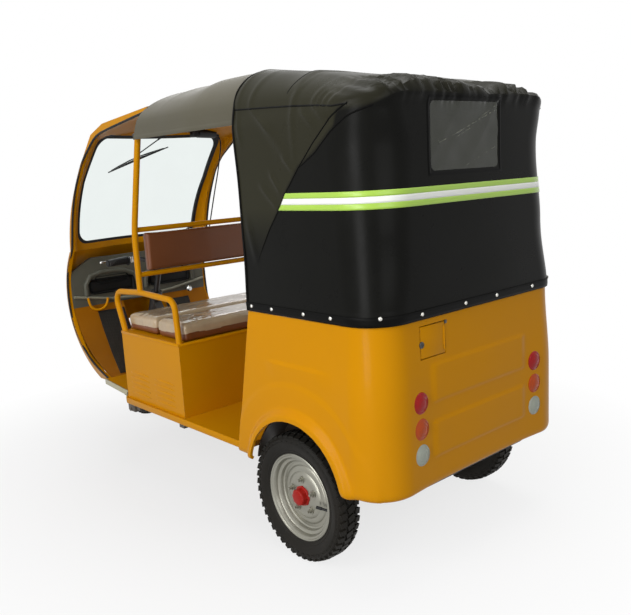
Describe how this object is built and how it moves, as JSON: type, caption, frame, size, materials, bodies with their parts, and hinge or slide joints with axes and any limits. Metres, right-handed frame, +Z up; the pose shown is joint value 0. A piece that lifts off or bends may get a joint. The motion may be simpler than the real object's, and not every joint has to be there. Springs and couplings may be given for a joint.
{
  "type": "electric auto rickshaw",
  "caption": "Three-wheeled passenger rickshaw: narrow nose, open doorways, back-to-back seat box, rear bench, soft canopy; wheels roll, fork steers, flap opens.",
  "frame": {"origin": "on the ground below the middle of the vehicle's length and width", "axes": "+Z up, -Y towards the nose, +X towards the vehicle's left side"},
  "size_m": [1.102, 2.811, 1.8351],
  "materials": {
    "yellow_paint": "gloss",
    "black_metal": "satin",
    "motor_grey": "matt",
    "battery_black": "matt",
    "brown_vinyl": "satin",
    "black_vinyl": "satin",
    "window_film": "gloss",
    "black_rubber": "matt",
    "clear_glass": "gloss",
    "grey_plastic": "matt",
    "dark_plastic": "matt",
    "headlamp_glass": "gloss",
    "red_lens": "gloss",
    "amber_lens": "gloss",
    "clear_lens": "gloss",
    "tyre": "matt",
    "steel_rim": "satin"
  },
  "bodies": {
    "chassis": {"chassis_frame": "black_metal", "floor_pan": "yellow_paint", "quarter_panels": "yellow_paint", "rear_panel": "yellow_paint", "rear_floor": "yellow_paint", "wheel_housings": "black_metal", "rear_seat_cushion": "brown_vinyl", "rear_seat_back": "brown_vinyl", "rear_bench_base": "yellow_paint", "tail_lamps_clear": "clear_lens", "tail_lamps_amber": "amber_lens", "tail_lamps_red": "red_lens", "seat_box": "yellow_paint", "battery_pack": "battery_black", "box_cushion_front": "brown_vinyl", "box_cushion_rear": "brown_vinyl", "handrails": "yellow_paint", "b_posts": "yellow_paint", "backrest_rails": "yellow_paint", "backrest_pad": "brown_vinyl", "front_roof_cover": "black_vinyl", "canopy_sides": "black_vinyl", "canopy_rear": "black_vinyl", "canopy_roof": "black_vinyl", "rear_window": "window_film", "roof_frame": "yellow_paint", "nose_cowl": "yellow_paint", "roof_cap": "yellow_paint", "windscreen_frame": "yellow_paint", "windscreen_seal": "black_rubber", "windscreen_glass": "clear_glass", "inner_fairing": "grey_plastic", "toe_board": "yellow_paint", "headlamps": "headlamp_glass", "brake_pedal": "black_metal", "rear_axle": "black_metal", "drive_motor": "motor_grey", "leaf_springs": "black_metal", "rear_bumper": "black_metal"},
    "steering": {"fork": "black_metal", "handlebar": "black_metal", "instrument_housing": "dark_plastic", "front_mudguard": "black_metal"},
    "front_wheel": {"front_tyre": "tyre", "front_rim": "steel_rim"},
    "rear_wheel_left": {"rear_left_tyre": "tyre", "rear_left_rim": "steel_rim"},
    "rear_wheel_right": {"rear_right_tyre": "tyre", "rear_right_rim": "steel_rim"},
    "flap": {"charging_flap": "yellow_paint"}
  },
  "joints": [
    {"name": "steering", "type": "hinge", "parent": "chassis", "child": "steering", "pos_m": [0, -0.91344, 0.68], "axis": [0, 0.3746, 0.9272], "range_deg": [-38, 38]},
    {"name": "front_roll", "type": "hinge", "parent": "steering", "child": "front_wheel", "pos_m": [0, -1.133, 0.243], "axis": [1, 0, 0], "continuous": true},
    {"name": "rear_left_roll", "type": "hinge", "parent": "chassis", "child": "rear_wheel_left", "pos_m": [0.477, 0.942, 0.243], "axis": [1, 0, 0], "continuous": true},
    {"name": "rear_right_roll", "type": "hinge", "parent": "chassis", "child": "rear_wheel_right", "pos_m": [-0.477, 0.942, 0.243], "axis": [1, 0, 0], "continuous": true},
    {"name": "flap_hinge", "type": "hinge", "parent": "chassis", "child": "flap", "pos_m": [0.203, 1.39, 0.848], "axis": [0, 0, 1], "range_deg": [0, 110]}
  ]
}
